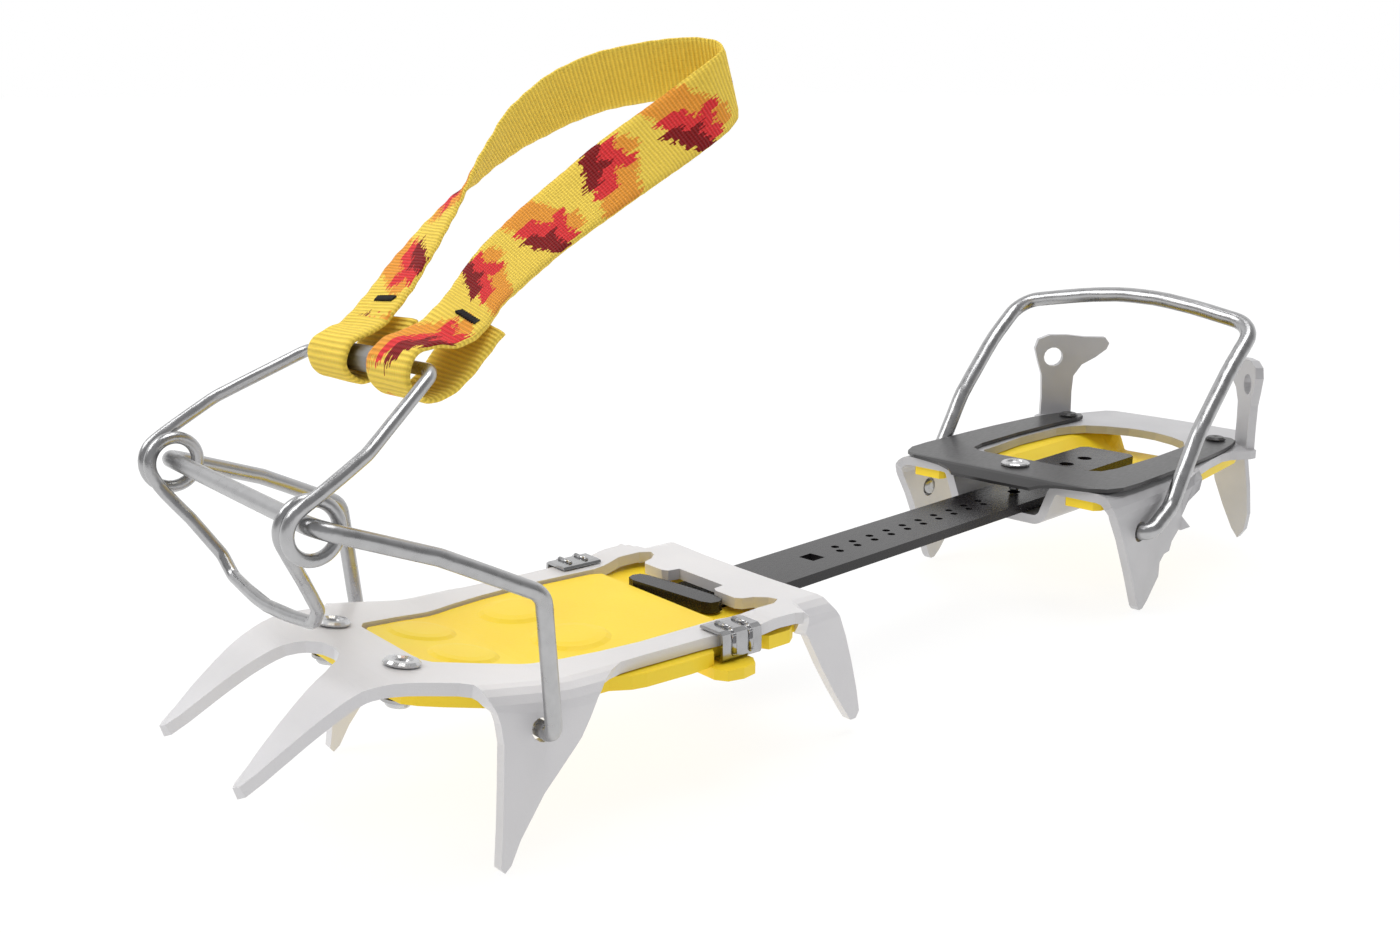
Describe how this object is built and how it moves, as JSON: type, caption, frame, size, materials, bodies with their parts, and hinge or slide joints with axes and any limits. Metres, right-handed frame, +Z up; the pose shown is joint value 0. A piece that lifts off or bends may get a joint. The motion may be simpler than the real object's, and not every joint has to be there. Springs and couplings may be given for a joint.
{
  "type": "crampon",
  "caption": "Mountaineering crampon: spiked toe plate and heel plate on a sliding bar, with wire toe bail, lever, ankle strap and heel bail.",
  "frame": {"origin": "centre of the bounding box in plan, on the ground under the spike tips", "axes": "+Y from toe to heel, +X toward the near side, +Z up; the toe section is square to the axes and the bar swings 6.65 degrees to -X"},
  "size_m": [0.1254, 0.4072, 0.1827],
  "materials": {
    "toe_plate": "white gloss coat",
    "heel_plate": "white gloss coat",
    "toe_base_plastic": "satin moulded",
    "heel_base_plastic": "satin moulded",
    "toe_rivet_near": "polished",
    "toe_rivet_far": "polished",
    "toe_washer_near": "satin",
    "toe_washer_far": "satin",
    "toe_clip_near": "polished",
    "toe_clip_far": "polished",
    "toe_bail": "satin",
    "lever_wire": "satin",
    "lever_sleeve": "satin",
    "ankle_strap": "woven",
    "strap_bartack_near": "thread",
    "strap_bartack_far": "thread",
    "link_bar": "black gloss coat",
    "adjuster_spring": "dark semi-gloss",
    "adjuster_pin": "polished",
    "heel_rivet_near": "polished",
    "heel_rivet_far": "polished",
    "heel_bail": "satin"
  },
  "bodies": {
    "toe_section": {"toe_plate": "toe_plate", "toe_base_plastic": "toe_base_plastic", "toe_rivet_near": "toe_rivet_near", "toe_rivet_far": "toe_rivet_far", "toe_washer_near": "toe_washer_near", "toe_washer_far": "toe_washer_far", "toe_clip_near": "toe_clip_near", "toe_clip_far": "toe_clip_far"},
    "toe_bail_body": {"toe_bail": "toe_bail"},
    "toe_lever": {"lever_wire": "lever_wire", "lever_sleeve": "lever_sleeve"},
    "strap": {"ankle_strap": "ankle_strap", "strap_bartack_near": "strap_bartack_near", "strap_bartack_far": "strap_bartack_far"},
    "bar": {"link_bar": "link_bar"},
    "heel_section": {"heel_plate": "heel_plate", "heel_base_plastic": "heel_base_plastic"},
    "adjuster": {"adjuster_spring": "adjuster_spring", "adjuster_pin": "adjuster_pin", "heel_rivet_near": "heel_rivet_near", "heel_rivet_far": "heel_rivet_far"},
    "heel_bail_body": {"heel_bail": "heel_bail"}
  },
  "joints": [
    {"name": "toe_bail_hinge", "type": "hinge", "parent": "toe_section", "child": "toe_bail_body", "pos_m": [0.01316, -0.14057, 0.03042], "axis": [1, 0, 0], "range_deg": [-45, 8]},
    {"name": "toe_lever_hinge", "type": "hinge", "parent": "toe_bail_body", "child": "toe_lever", "pos_m": [0.01316, -0.19059, 0.08523], "axis": [1, 0, 0], "range_deg": [-25, 11]},
    {"name": "ankle_strap_swing", "type": "hinge", "parent": "toe_lever", "child": "strap", "pos_m": [0.01316, -0.15804, 0.1101], "axis": [-0.9989, -0.014, -0.0456], "range_deg": [-60, 10]},
    {"name": "bar_pitch", "type": "hinge", "parent": "toe_section", "child": "bar", "pos_m": [0.01429, -0.07175, 0.03752], "axis": [0.9933, 0.1158, 0], "range_deg": [-1, 0.6]},
    {"name": "bar_length", "type": "slide", "parent": "bar", "child": "heel_section", "axis": [-0.1158, 0.9933, 0], "range_m": [-0.06605, 0]},
    {"name": "adjuster_lift", "type": "hinge", "parent": "heel_section", "child": "adjuster", "pos_m": [-0.01417, 0.17236, 0.04376], "axis": [0.9933, 0.1158, 0], "range_deg": [-2.2, 0], "stiffness_Nm_per_rad": 2},
    {"name": "heel_bail_hinge", "type": "hinge", "parent": "heel_section", "child": "heel_bail_body", "pos_m": [-0.00539, 0.09703, 0.02821], "axis": [0.9933, 0.1158, 0], "range_deg": [-8, 30]}
  ]
}
